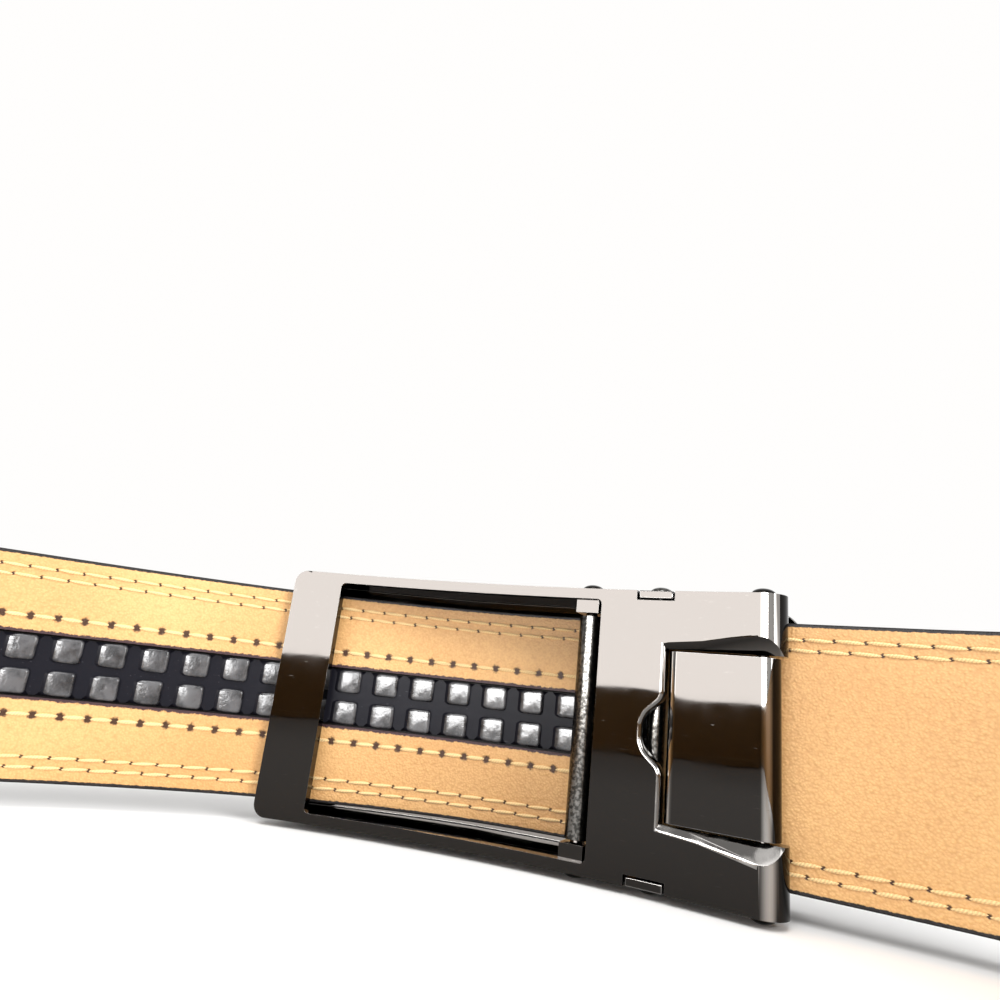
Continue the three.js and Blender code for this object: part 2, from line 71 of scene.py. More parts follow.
def soft_panel(name, place, aim, width, height, power):
    """A flat studio light of that size in metres, turned towards a point."""
    light = bpy.data.lights.new(name, "AREA")
    light.shape = "RECTANGLE"
    light.size = width
    light.size_y = height
    light.energy = power
    lamp = bpy.data.objects.new(name, light)
    bpy.context.collection.objects.link(lamp)
    lamp.location = place
    lamp.rotation_euler = (Vector(aim) - Vector(place)).to_track_quat("-Z", "Y").to_euler()
    return lamp


buckle_middle = Vector((0, -0.17, 0.022))
soft_panel("panel_over_loop", (-0.05, 0.45, 0.8), buckle_middle, 0.5, 0.5, 6)
soft_panel("panel_at_side", (-0.5, 0.05, 0.2), buckle_middle, 0.3, 0.3, 4)
past_loop = soft_panel("panel_past_loop", (0.1, 0.75, 0.14), buckle_middle, 0.95, 0.28, 34)
past_loop.visible_diffuse = False

# The camera stands inside the loop, a hand's breadth from the buckle's inner face. It looks up
# a little and leans to the right.
camera_data = bpy.data.cameras.new("camera")
camera_data.sensor_width = 36
camera_data.lens = 24.84
camera_data.clip_start = 0.005
camera = bpy.data.objects.new("camera", camera_data)
bpy.context.collection.objects.link(camera)
camera_place = Vector((-38.1, -62.7, 24.6)) * mm
camera_right = Vector((-0.933, -0.343, 0.106)).normalized()
camera_back = Vector((-0.359, 0.894, -0.269)).normalized()
camera_up = camera_back.cross(camera_right).normalized()
camera_right = camera_up.cross(camera_back)
camera.matrix_world = Matrix.Translation(camera_place) @ Matrix(
    (camera_right, camera_up, camera_back)
).transposed().to_4x4()
bpy.context.scene.camera = camera

# The two lines that the belt is bent along. The buckle's inner face is an arc. The strap's
# inner face starts under the clamp, goes round the waist, passes back through the buckle and
# ends with the free end lying outside the clamped one.
strap_width = 35 * mm
outer_wall = 1.6 * mm
lining_wall = 1.3 * mm
gap = 0.3 * mm
strap_wall = outer_wall + gap + lining_wall

plate_length = 81.5 * mm
plate_half = 20.5 * mm
plate_wall = 1.8 * mm
plate_bend = 164.5 * mm
plate_end = plate_length / 2
nose_radius = 3.2 * mm
clamp_length = 26.4 * mm
flap_pin_at = plate_end - nose_radius
flap_pin_depth = nose_radius
pawl_pin_in = 2.55 * mm
pawl_pin_at = plate_end - clamp_length - pawl_pin_in
pawl_pin_depth = 3.5 * mm
clamp_bar_in = 18.15 * mm
clamp_bar_at = plate_end - clamp_bar_in
clamp_bar_depth = 3.9 * mm
clamp_bar_radius = 1.3 * mm
case_depth = 14.3 * mm


def on_arc(along, depth):
    """A place on the curved buckle, seen from above, before the belt is centred."""
    angle = along / plate_bend
    radius = plate_bend + depth
    return Vector((-radius * math.sin(angle), plate_bend - radius * math.cos(angle)))


pin_low, pin_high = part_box("flap_pin")
belt_place = ((pin_low + pin_high) / 2).to_2d() - on_arc(flap_pin_at, flap_pin_depth)
buckle_height = (pin_low.z + pin_high.z) / 2


def guide_line(name, points):
    """A curve through the points, for pieces to bend along."""
    line = bpy.data.curves.new(name, "CURVE")
    line.dimensions = "3D"
    line.twist_mode = "Z_UP"
    spline = line.splines.new("POLY")
    spline.points.add(len(points) - 1)
    for point, place in zip(spline.points, points):
        point.co = (*place, 1)
    guide = bpy.data.objects.new(name, line)
    bpy.context.collection.objects.link(guide)
    return guide


guide_reach = 60 * mm
arc_steps = 240
arc_points = [
    (*(on_arc(guide_reach * (2 * i / arc_steps - 1), 0) + belt_place), buckle_height)
    for i in range(arc_steps + 1)
]
buckle_guide = guide_line("buckle_guide", arc_points)

loop_half_width = 122 * mm
loop_depth = 352 * mm
right_share = 0.29
left_share = 0.43
straight_past = 17 * mm
tail_past = 115 * mm
fixed_margin = 1.1 * mm
strap_sag = 0.4 * mm
clamp_slope = math.radians(1.628)
clamp_heading = math.pi - clamp_bar_at / plate_bend - clamp_slope
bed_wall = 0.8 * mm
bed_stack = strap_wall + gap + bed_wall + gap
clamp_run = plate_end - clamp_bar_at + fixed_margin


def ahead(heading):
    """A step along the strap."""
    return Vector((math.cos(heading), math.sin(heading)))


def outwards(heading):
    """A step through the strap, away from the body."""
    return Vector((-math.sin(heading), math.cos(heading)))


# Each row of pass_through is a place of the strap inside the buckle: its share of the plate's
# length along and of the case's depth out, and its slope against the plate in degrees.
strap_start = on_arc(clamp_bar_at, clamp_bar_depth + clamp_bar_radius + gap)
strap_start -= fixed_margin * ahead(clamp_heading)
free_end_start = strap_start + bed_stack * outwards(clamp_heading)
pass_through = [
    (-0.6055, -0.0479, 18.81),
    (-0.4195, 0.2684, 14.09),
    (-0.3033, 0.429, 12.39),
    (-0.0605, 0.661, 5.78),
    (0.0628, 0.7103, 1.78),
]
stations = [
    (strap_start, clamp_heading),
    (strap_start + (clamp_run + straight_past) * ahead(clamp_heading), clamp_heading),
    (Vector((-loop_half_width, right_share * loop_depth)), math.pi / 2),
    (Vector((0, loop_depth)), 0),
    (Vector((loop_half_width, left_share * loop_depth)), -math.pi / 2),
]
for along, depth, slope in pass_through:
    along *= plate_length
    heading = math.radians(slope) - math.pi - along / plate_bend
    stations.append((on_arc(along, depth * case_depth), heading))
stations.append((free_end_start, clamp_heading - 2 * math.pi))

route = []  # each place on the strap's inner face with its heading, about a millimetre apart
for (start, heading), (stop, next_heading) in zip(stations, stations[1:]):
    reach = (stop - start).length / (3 * math.cos((next_heading - heading) / 4) ** 2)
    handles = (start + reach * ahead(heading), stop - reach * ahead(next_heading))
    count = max(8, round((stop - start).length / mm))
    places = interpolate_bezier(start, handles[0], handles[1], stop, count + 1)
    route += [place.to_2d() for place in places][: None if stop is free_end_start else -1]

headings = []
for i in range(len(route)):
    step = route[min(i + 1, len(route) - 1)] - route[max(i - 1, 0)]
    headings.append(math.atan2(step.y, step.x))
headings[0] = clamp_heading
headings[-1] = clamp_heading


def ease(value, low, high):
    """0 below the low end, 1 above the high end and a smooth rise between them."""
    share = min(max((value - low) / (high - low), 0), 1)
    return share * share * (3 - 2 * share)


# The free end follows the same route once more, further out, first past the clamp bed.
run = 0
tail = []
for i in range(1, len(route)):
    run += (route[i] - route[i - 1]).length
    if run > clamp_run + tail_past:
        break
    near = ease(run, clamp_run + straight_past / 2, clamp_run + 3 * straight_past)
    offset = bed_stack + near * (strap_wall + gap - bed_stack)
    tail.append(route[i] + offset * outwards(headings[i]))
route += tail
strap_length = sum((b - a).length for a, b in zip(route, route[1:]))

strap_height = buckle_height - strap_sag
settled = strap_width / 2
settle_from = 0.05 * loop_depth
settle_to = 0.7 * loop_depth


def strap_middle(place):
    """Height of the strap's middle, which sinks from the buckle down to the table."""
    sunk = ease(place.y, settle_from, settle_to)
    return strap_height + sunk * (settled - strap_height)


strap_points = [(*(place + belt_place), strap_middle(place)) for place in route]
strap_guide = guide_line("strap_guide", strap_points)

# The back frame is the polished plate that lies against the body. It is cast zinc, plated in a
# dark nickel. It has one large window, lugs inside it for the pawl's pin, a recess for the
# clamp flap with a finger notch, and an end that is rolled round the flap's pin.
plate_corner = 2.2 * mm
bar_width = 8.7 * mm
rail_width = 1.6 * mm
window_corner = 0.8 * mm
window_half = plate_half - rail_width
window_end = plate_end - clamp_length
pin_radius = 0.9 * mm
roller_radius = 1.8 * mm
roller_half = 16.4 * mm
lug_wall = 1.9 * mm
lug_gap = 0.4 * mm
lug_top = 0.9 * mm
lug_drop = 1.9 * mm
lug_foot = plate_half - 0.8 * mm
bend_step = 2.5 * mm
through_plate = (-mm, 3 * mm)
roll_floor = flap_pin_depth + 1.5 * mm
flap_half = 11.7 * mm
flap_length = 12.65 * mm
flap_wall = 1.4 * mm
flap_edge = flap_pin_at - flap_length
side_wall = 1.2 * mm
tab_length = 5.2 * mm
tab_in = 17.95 * mm
tab_at = plate_end - tab_in
inner_half = plate_half - side_wall - gap
notch_depth = 3.4 * mm
notch_outer = 5.2 * mm
notch_inner = 2.1 * mm
notch_rounding = 1.4 * mm
notch_mouth_rounding = 1.1 * mm
rim_rounding = 0.6 * mm
flap_top = 0.35 * mm
recess_flare = 3.1 * mm
recess_drop = 2.2 * mm
recess_half = flap_half + gap


def pick(piece):
    """Leaves this piece alone selected and active."""
    bpy.ops.object.select_all(action="DESELECT")
    piece.select_set(True)
    bpy.context.view_layer.objects.active = piece


def shape(kind, name, **settings):
    """A basic mesh, with its place, turn and scale applied."""
    bpy.ops.object.select_all(action="DESELECT")
    kind(**settings)
    piece = bpy.context.object
    piece.name = name
    bpy.ops.object.transform_apply(location=True, rotation=True, scale=True)
    return piece


def block(name, along, out, up):
    """A box between two places each along the piece, outwards from the body and up."""
    low, high = (Vector(corner) for corner in zip(along, out, up))
    cube = bpy.ops.mesh.primitive_cube_add
    return shape(cube, name, size=1, location=(low + high) / 2, scale=high - low)


def rod(name, at, depth, radius, up, sides=48):
    """A round bar that stands up at one place along the piece."""
    low, high = up
    cylinder = bpy.ops.mesh.primitive_cylinder_add
    middle = (at, depth, (low + high) / 2)
    return shape(cylinder, name, vertices=sides, radius=radius, depth=high - low, location=middle)


def on_side(side, inner, outer):
    """Two heights on one side of the strap's middle, the lower one first."""
    return sorted((side * inner, side * outer))


def modify(piece, kind, **settings):
    """Adds one modifier to the piece and applies it at once."""
    pick(piece)
    modifier = piece.modifiers.new(kind.lower(), kind)
    for name, value in settings.items():
        setattr(modifier, name, value)
    bpy.ops.object.modifier_apply(modifier=modifier.name)


def combine(operation, piece, *others):
    for other in others:
        modify(piece, "BOOLEAN", operation=operation, object=other, solver="EXACT")
        bpy.data.objects.remove(other)


def cut(piece, *tools):
    combine("DIFFERENCE", piece, *tools)


def weld(piece, *others):
    combine("UNION", piece, *others)


def edit(piece, *steps):
    """Runs each step of mesh editing, with its settings, on the whole piece."""
    pick(piece)
    bpy.ops.object.mode_set(mode="EDIT")
    for step, settings in steps:
        bpy.ops.mesh.select_all(action="SELECT")
        step(**settings)
    bpy.ops.object.mode_set(mode="OBJECT")


def face_outwards(piece):
    edit(piece, (bpy.ops.mesh.normals_make_consistent, {"inside": False}))


def merge_flat(piece, threshold):
    """Joins points that lie together, and faces that lie in one plane."""
    edit(
        piece,
        (bpy.ops.mesh.remove_doubles, {"threshold": threshold}),
        (bpy.ops.mesh.dissolve_limited, {"angle_limit": math.radians(1)}),
    )


def pick_edges(piece, wanted=lambda at, way: False):
    """Goes into edit mode with the edges chosen whose middle and direction the test accepts."""
    pick(piece)
    bpy.ops.object.mode_set(mode="EDIT")
    bpy.ops.mesh.select_mode(type="EDGE")
    bpy.ops.mesh.select_all(action="DESELECT")
    mesh = bmesh.from_edit_mesh(piece.data)
    for edge in mesh.edges:
        a, b = (vert.co for vert in edge.verts)
        edge.select = bool(wanted((a + b) / 2, (b - a).normalized()))
    mesh.select_flush_mode()
    bmesh.update_edit_mesh(piece.data)


def round_edges(piece, width, wanted, segments=4):
    pick_edges(piece, wanted)
    bpy.ops.mesh.bevel(offset=width, segments=segments, affect="EDGES")
    bpy.ops.object.mode_set(mode="OBJECT")


def soften(piece, width, angle=35, segments=3, edge_finish=-1):
    """Rounds every crease of the piece that is sharper than the angle."""
    merge_flat(piece, 0.004 * mm)
    creases = {"limit_method": "ANGLE", "angle_limit": math.radians(angle)}
    rounding = {"width": width, "segments": segments, "use_clamp_overlap": True}
    modify(piece, "BEVEL", **creases, **rounding, miter_outer="MITER_ARC", material=edge_finish)


def slice_at(piece, way, distances):
    """Cuts the piece's faces where planes at these distances from its origin meet them."""
    planes = ({"plane_co": distance * Vector(way), "plane_no": way} for distance in distances)
    edit(piece, *((bpy.ops.mesh.bisect, plane) for plane in planes))


def slice_along(piece, low, high):
    """Cuts the piece into even slices, so that it can follow the buckle's bend."""
    steps = range(math.ceil(low / bend_step), math.floor(high / bend_step) + 1)
    slice_at(piece, (1, 0, 0), [i * bend_step for i in steps])


def bend(piece, guide, smooth_angle):
    """Bends a flat piece along a guide line and smooths its shading."""
    modify(piece, "CURVE", object=guide, deform_axis="POS_X")
    pick(piece)
    bpy.ops.object.shade_smooth_by_angle(angle=math.radians(smooth_angle))


def bend_on_buckle(piece):
    """Bends a flat piece along the buckle's arc."""
    slice_along(piece, -plate_end - 4 * mm, plate_end + 4 * mm)
    piece.data.transform(Matrix.Translation((guide_reach, 0, 0)))
    bend(piece, buckle_guide, 40)
    modify(piece, "WEIGHTED_NORMAL", keep_sharp=True, weight=80)


def wedge(name, outline, out):
    """A flat outline of places along and up, given a thickness outwards."""
    bpy.ops.object.select_all(action="DESELECT")
    mesh = bpy.data.meshes.new(name)
    mesh.from_pydata([(a, out[0], z) for a, z in outline], [], [range(len(outline))])
    piece = bpy.data.objects.new(name, mesh)
    bpy.context.collection.objects.link(piece)
    thickness = {"value": (0, out[1] - out[0], 0)}
    edit(piece, (bpy.ops.mesh.extrude_region_move, {"TRANSFORM_OT_translate": thickness}))
    face_outwards(piece)
    return piece


def upright(middle, way):
    return abs(way.y) > 0.9


def finish_named(name, colour, roughness, metallic=0.0):
    """A new material with its plain values on the shader itself."""
    made = bpy.data.materials.new(name)
    made.use_nodes = True
    shader = made.node_tree.nodes["Principled BSDF"]
    shader.inputs["Base Color"].default_value = (*colour, 1)
    shader.inputs["Roughness"].default_value = roughness
    shader.inputs["Metallic"].default_value = metallic
    return made


def feed(tree, socket, value):
    """Gives a socket a plain value, or links it to the socket or node that the value is."""
    if isinstance(value, bpy.types.Node):
        value = value.outputs[0]
    if isinstance(value, bpy.types.NodeSocket):
        tree.links.new(value, socket)
    else:
        socket.default_value = value


def add(tree, kind, settings=None, **inputs):
    """Adds a node. An input is named, or has its number after an underscore."""
    node = tree.nodes.new("ShaderNode" + kind)
    for name, value in (settings or {}).items():
        setattr(node, name, value)
    for name, value in inputs.items():
        number = name.removeprefix("_")
        key = int(number) if number.isdigit() else name.replace("_", " ")
        feed(tree, node.inputs[key], value)
    return node


def maths(tree, operation, a, b=0.0, c=0.5, clamp=False):
    return add(tree, "Math", {"operation": operation, "use_clamp": clamp}, _0=a, _1=b, _2=c)


def between(tree, value, low, high, start=0.0, stop=1.0):
    """Maps a value smoothly from one range to another."""
    smooth = {"interpolation_type": "SMOOTHSTEP"}
    return add(tree, "MapRange", smooth, _0=value, _1=low, _2=high, _3=start, _4=stop)


def mixed(tree, share, a, b):
    """Mixes two colours."""
    return add(tree, "Mix", {"data_type": "RGBA"}, _0=share, _6=a, _7=b).outputs[2]


def on_shader(tree, name, value):
    """Gives one input of the material's shader its value or link."""
    feed(tree, tree.nodes["Principled BSDF"].inputs[name], value)


def bumpy(tree, strength, distance, height):
    """Gives the material a relief."""
    bump = add(tree, "Bump", Strength=strength, Distance=distance, Height=height)
    on_shader(tree, "Normal", bump)


def effect(name, inputs, outputs):
    """An empty shader group with its sockets, and the nodes for what goes in and comes out."""
    group = bpy.data.node_groups.new(name, "ShaderNodeTree")
    for socket, kind, value in inputs:
        made = group.interface.new_socket(name=socket, in_out="INPUT", socket_type="NodeSocket" + kind)
        if value is not None:
            made.default_value = value
    for socket, kind in outputs:
        group.interface.new_socket(name=socket, in_out="OUTPUT", socket_type="NodeSocket" + kind)
    return group, group.nodes.new("NodeGroupInput"), group.nodes.new("NodeGroupOutput")


def placed(tree, group, **inputs):
    """Puts a shader group in a material."""
    node = tree.nodes.new("ShaderNodeGroup")
    node.node_tree = group
    for name, value in inputs.items():
        feed(tree, node.inputs[name.replace("_", " ")], value)
    return node


# Fine wear: hairline scratches that run two ways, and scattered specks of dust.
fine_wear, wear_in, wear_out = effect(
    "fine_wear",
    [("Place", "Vector", None), ("Speck Size", "Float", 0.05), ("Speck Share", "Float", 0.5)],
    [("Scratches", "Float"), ("Specks", "Float")],
)
place = wear_in.outputs["Place"]
scratches = 0.0
for turn, across, along_line, edge in ((0.5, 2600, 55, 0.70), (-1.0, 3100, 80, 0.72)):
    turned = (0.3 * turn, turn, 0.2)
    drawn_out = (along_line, across, across)
    lined_up = add(fine_wear, "Mapping", Vector=place, Rotation=turned, Scale=drawn_out)
    lines = add(fine_wear, "TexNoise", Vector=lined_up, Scale=1.0, Detail=2.0, Roughness=0.6)
    thin = between(fine_wear, lines, edge, edge + 0.05)
    scratches = maths(fine_wear, "MAXIMUM", scratches, thin)
cells = add(fine_wear, "TexVoronoi", Vector=place, Scale=850.0)
size = wear_in.outputs["Speck Size"]
dot = add(fine_wear, "MapRange", _0=cells.outputs["Distance"], _1=size, _2=0.0)
chance = add(fine_wear, "SeparateColor", _0=cells.outputs["Color"])
chosen = maths(fine_wear, "LESS_THAN", chance, wear_in.outputs["Speck Share"])
feed(fine_wear, wear_out.inputs["Scratches"], scratches)
feed(fine_wear, wear_out.inputs["Specks"], maths(fine_wear, "MULTIPLY", dot, chosen))

# Dark nickel plate: nearly black, polished, with faint swells left by the polishing wheel.
dark_nickel = finish_named("dark_nickel", (0.019, 0.0174, 0.0162), 0.04, 1.0)
tree = dark_nickel.node_tree
place = add(tree, "TexCoord").outputs["Object"]
wear = placed(tree, fine_wear, Place=place, Speck_Size=0.06, Speck_Share=0.07)
marks = maths(tree, "MULTIPLY", wear.outputs["Scratches"], 0.35)
marks = maths(tree, "MAXIMUM", marks, wear.outputs["Specks"])
metal = mixed(tree, marks, (0.019, 0.0174, 0.0162, 1), (0.034, 0.032, 0.03, 1))
haze = add(tree, "TexNoise", Vector=place, Scale=180.0, Detail=4.0)
haze = between(tree, haze, 0.35, 0.75, 0.025, 0.06)
rough = maths(tree, "ADD", haze, maths(tree, "MULTIPLY", marks, 0.35), clamp=True)
on_shader(tree, "Roughness", rough)
swell = add(tree, "TexNoise", Vector=place, Scale=90.0, Detail=1.0)
bumpy(tree, 0.35, 0.12 * mm, swell)

# Where the plate and the flap roll round their ends, a band of the surface, picked by how far it turns,
# gets a lighter base colour: a painted highlight.
turned = add(tree, "Attribute", {"attribute_name": "turned"}).outputs["Fac"]
# The lighter colour mixed in by the turned attribute is a painted highlight.
on_shader(tree, "Base Color", mixed(tree, turned, metal, (0.3, 0.285, 0.27, 1)))


def mark_painted_highlight(piece, start, stop):
    """Keeps, for each point, how much painted highlight it gets from how far its surface turns along
    the belt, most part way round the turn.
    """
    turned = piece.data.attributes.new("turned", "FLOAT", "POINT")
    for point in piece.data.vertices:
        if start < point.co.x < stop:
            facing = abs(point.normal.x)
            rise = min(1.0, max(0.0, 3.0 * facing - 0.35))
            turned.data[point.index].value = rise * min(1.0, max(0.0, 4.2 - 6.0 * facing))


# The same plate with a brighter base colour: along every edge it is rubbed plating and also paints the
# edges' bright lines; on the lower slope beside the flap it is a painted highlight.
rubbed_nickel_and_painted_highlight = finish_named("rubbed_nickel_and_painted_highlight", (0.13, 0.125, 0.12), 0.14, 1.0)
tree = rubbed_nickel_and_painted_highlight.node_tree
place = add(tree, "TexCoord").outputs["Object"]
rub = add(tree, "TexNoise", Vector=place, Scale=500.0, Detail=3.0)
on_shader(tree, "Roughness", between(tree, rub, 0.35, 0.7, 0.06, 0.22))


def plate_with_nickel(piece):
    """Dark nickel all over, with the brighter rubbed finish, partly a painted highlight, ready for the
    edges.
    """
    piece.data.materials.clear()
    piece.data.materials.append(dark_nickel)
    piece.data.materials.append(rubbed_nickel_and_painted_highlight)


plate_span = (-plate_half, plate_half)
back_frame = block("back_frame_polished", (-plate_end, flap_pin_at), (0, plate_wall), plate_span)
round_edges(back_frame, plate_corner, lambda at, way: upright(at, way) and at.x < 0, 8)
window_run = (bar_width - plate_end, window_end)
window = block("window", window_run, through_plate, (-window_half, window_half))
round_edges(window, window_corner, upright, 5)
cut(back_frame, window)
lug_run = (pawl_pin_at - roller_radius, pawl_pin_at + roller_radius)
lug_start = roller_half + lug_gap
tab_run = (tab_at - tab_length / 2 - gap, tab_at + tab_length / 2 + gap)
for side in (-1, 1):
    half_span = on_side(side, flap_half, plate_half)
    roll = rod("roll", flap_pin_at, flap_pin_depth, nose_radius, half_span, 64)
    cut(roll, block("under_roll", (0, 60 * mm), (roll_floor, 9 * mm), (-25 * mm, 25 * mm)))
    weld(back_frame, roll)
    lug_up = on_side(side, lug_start, lug_start + lug_wall)
    lug = block("lug", lug_run, (lug_top, pawl_pin_depth + lug_drop), lug_up)
    weld(lug, block("lug_root", lug_run, (lug_top, plate_wall), on_side(side, lug_start, lug_foot)))
    weld(back_frame, lug)
    tab_up = on_side(side, inner_half, plate_half + mm)
    cut(back_frame, block("tab_notch", tab_run, through_plate, tab_up))
notch_outline = [
    (flap_edge - notch_depth, -notch_inner),
    (flap_edge + gap, -notch_outer),
    (flap_edge + gap, notch_outer),
    (flap_edge - notch_depth, notch_inner),
]
finger_notch = wedge("finger_notch", notch_outline, through_plate)
round_edges(finger_notch, notch_rounding, lambda at, way: upright(at, way) and at.x < flap_edge - mm, 6)
recess_run = (flap_edge - gap, plate_end + mm)
recess = block("recess", recess_run, (-mm, case_depth), (-recess_half, recess_half))
cut(back_frame, recess, finger_notch)


def notch_mouth(at, way):
    """The two upright edges where the finger notch meets the recess."""
    at_edge = abs(at.x - flap_edge + gap) < 0.1 * mm
    return upright(at, way) and at_edge and 4 * mm < abs(at.z) < 6 * mm


round_edges(back_frame, notch_mouth_rounding, notch_mouth, 6)
for side in (-1, 1):
    flare = block("flare", recess_run, (-mm, 0), (-mm, 0))
    for vert in flare.data.vertices:
        at_end = vert.co.x > flap_pin_at
        wide, deep = (recess_flare, recess_drop) if at_end else (gap, flap_top)
        outer = vert.co.z > -0.5 * mm
        if vert.co.y > -0.5 * mm:
            vert.co.y = deep
            vert.co.z = side * (recess_half if outer else recess_half - mm)
        else:
            vert.co.z = side * (recess_half + wide * (1 + mm / deep) if outer else recess_half - mm)
    if side < 0:
        face_outwards(flare)
    cut(back_frame, flare)
merge_flat(back_frame, 0.01 * mm)


def recess_rim(at, way):
    """The edges on the plate's face that run round the recess and the finger notch."""
    over_recess = flap_edge - notch_depth - 0.1 * mm < at.x < flap_pin_at - 2 * mm
    return abs(at.y) < 0.02 * mm and over_recess and abs(at.z) < recess_half + 3.2 * mm


round_edges(back_frame, rim_rounding, recess_rim, 6)
plate_with_nickel(back_frame)
soften(back_frame, 0.3 * mm, edge_finish=1)
# The brighter finish goes on the lower slope beside the flap alone, as a painted highlight, and on the
# rounded left rim of the recess, as rubbed plating and a painted highlight line.
for face in back_frame.data.polygons:
    at = face.center
    beside_flap = flap_edge - mm < at.x and -recess_half - 5 * mm < at.z < 0.5 * mm - recess_half
    rim_turn = math.hypot(face.normal.x, face.normal.z)
    left_rim = flap_edge - 5 * mm < at.x < flap_edge and abs(at.z) < recess_half and at.y < 0.6 * mm
    if beside_flap and face.normal.z > 0.04 and abs(face.normal.x) < 0.5 and at.y < 6 * mm:
        face.material_index = 1
    if left_rim and 0.1 < rim_turn < 0.97:
        face.material_index = 1
# Painted highlight bands on the plate's rolled end.
mark_painted_highlight(back_frame, flap_pin_at - 2 * mm, plate_end + mm)
bend_on_buckle(back_frame)
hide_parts("back_frame")
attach(back_frame, "belt")

# The front case is the outer half of the buckle, the side that shows when the belt is worn. It
# is a shallow polished box, open at both ends for the strap, and shallower where the strap
# enters. Two tabs of its side walls come up through notches in the back frame.
case_wall = 1.4 * mm
case_taper = 4.5 * mm
case_corner = 5.5 * mm
nose_room_at = flap_pin_at - 3.25 * mm
nose_room_depth = flap_pin_depth + 1.8 * mm


def case_floor(along):
    """Depth of the case's inner face at one place along the buckle."""
    return case_depth - case_taper * ease(-along, 5 * mm, plate_end + 8 * mm)


def follow_floor(piece, extra):
    """Moves the piece's outer face to the case's floor, so that it slopes up at the entry."""
    for vert in piece.data.vertices:
        if vert.co.y > case_depth - mm:
            vert.co.y = case_floor(vert.co.x) + extra


tab_top = 0.15 * mm
front_case = block("front_case_polished", (-plate_end, plate_end), (tab_top, case_depth), plate_span)
round_edges(front_case, case_corner, upright, 8)
slice_along(front_case, -plate_end, plate_end)
follow_floor(front_case, case_wall)
hollow_half = plate_half - side_wall
hollow_run = (-plate_end - mm, plate_end + mm)
hollow = block("hollow", hollow_run, (-mm, case_depth), (-hollow_half, hollow_half))
slice_along(hollow, -plate_end - mm, plate_end + mm)
follow_floor(hollow, 0)
cut(front_case, hollow)
across = (-plate_half - mm, plate_half + mm)
wall_top = plate_wall + gap
cut(
    front_case,
    block("before_tabs", (-plate_end - mm, tab_at - tab_length / 2), (-mm, wall_top), across),
    block("after_tabs", (tab_at + tab_length / 2, plate_end + mm), (-mm, wall_top), across),
    block("nose_room", (nose_room_at, plate_end + mm), (-mm, nose_room_depth), across),
)
plate_with_nickel(front_case)
soften(front_case, 0.4 * mm, edge_finish=1)
bend_on_buckle(front_case)
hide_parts("front_case")
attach(front_case, "belt")

# Three turned steel pins hold the buckle together: the pawl's, the flap's and a thicker bar
# over the clamped strap. Each has a domed rivet head at both ends, outside the case's walls.
head_radius = 1.7 * mm
head_height = 0.9 * mm
head_start = plate_half + 0.2 * mm


def riveted_pin(name, at, depth, middle_radius=0, middle_half=0):
    """A pin with two domed heads, set in the buckle where the pin of the CAD model stands."""
    pin = rod(name, at, depth, pin_radius, (-head_start, head_start))
    if middle_radius:
        weld(pin, rod("thick_middle", at, depth, middle_radius, (-middle_half, middle_half)))
    for side in (-1, 1):
        bpy.ops.object.select_all(action="DESELECT")
        bpy.ops.mesh.primitive_uv_sphere_add(
            segments=48, ring_count=24, radius=1, location=(at, depth, side * head_start)
        )
        head = bpy.context.object
        head.scale = (head_radius, head_radius, head_height)
        bpy.ops.object.transform_apply(location=True, rotation=True, scale=True)
        wall_face = {"plane_co": (0, 0, side * head_start), "plane_no": (0, 0, side)}
        edit(head, (bpy.ops.mesh.bisect, {**wall_face, "use_fill": True, "clear_inner": True}))
        weld(pin, head)
    soften(pin, 0.08 * mm, 60, 2)
    pin.data.transform(Matrix.Translation((guide_reach, 0, 0)))
    bend(pin, buckle_guide, 50)
    return pin


# Rough plating on the cast roller and on the clamp bar: dark, with a skin like orange peel.
rough_nickel = finish_named("rough_nickel", (0.3, 0.29, 0.28), 0.2, 1.0)
tree = rough_nickel.node_tree
place = add(tree, "TexCoord").outputs["Object"]
peel = add(tree, "TexNoise", Vector=place, Scale=2200.0, Detail=2.0, Roughness=0.5)
pits = add(tree, "TexVoronoi", Vector=place, Scale=1500.0)
skin = maths(tree, "MULTIPLY_ADD", peel, 0.7, pits.outputs["Distance"])
high_spots = between(tree, peel, 0.4, 0.6)
metal = mixed(tree, high_spots, (0.03, 0.029, 0.027, 1), (0.1, 0.097, 0.092, 1))
on_shader(tree, "Base Color", metal)
bumpy(tree, 0.16, 0.05 * mm, skin)

bar_at = (clamp_bar_at, clamp_bar_depth)
bar_half = inner_half - bed_wall - gap
pins = {
    "pawl_pin": riveted_pin("pawl_pin_turned", pawl_pin_at, pawl_pin_depth),
    "clamp_bar": riveted_pin("clamp_bar_turned", *bar_at, clamp_bar_radius, bar_half),
    "flap_pin": riveted_pin("flap_pin_turned", flap_pin_at, flap_pin_depth),
}
for node, pin in pins.items():
    pin.data.materials.append(rough_nickel if node == "clamp_bar" else dark_nickel)
    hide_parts(node)
    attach(pin, "belt")

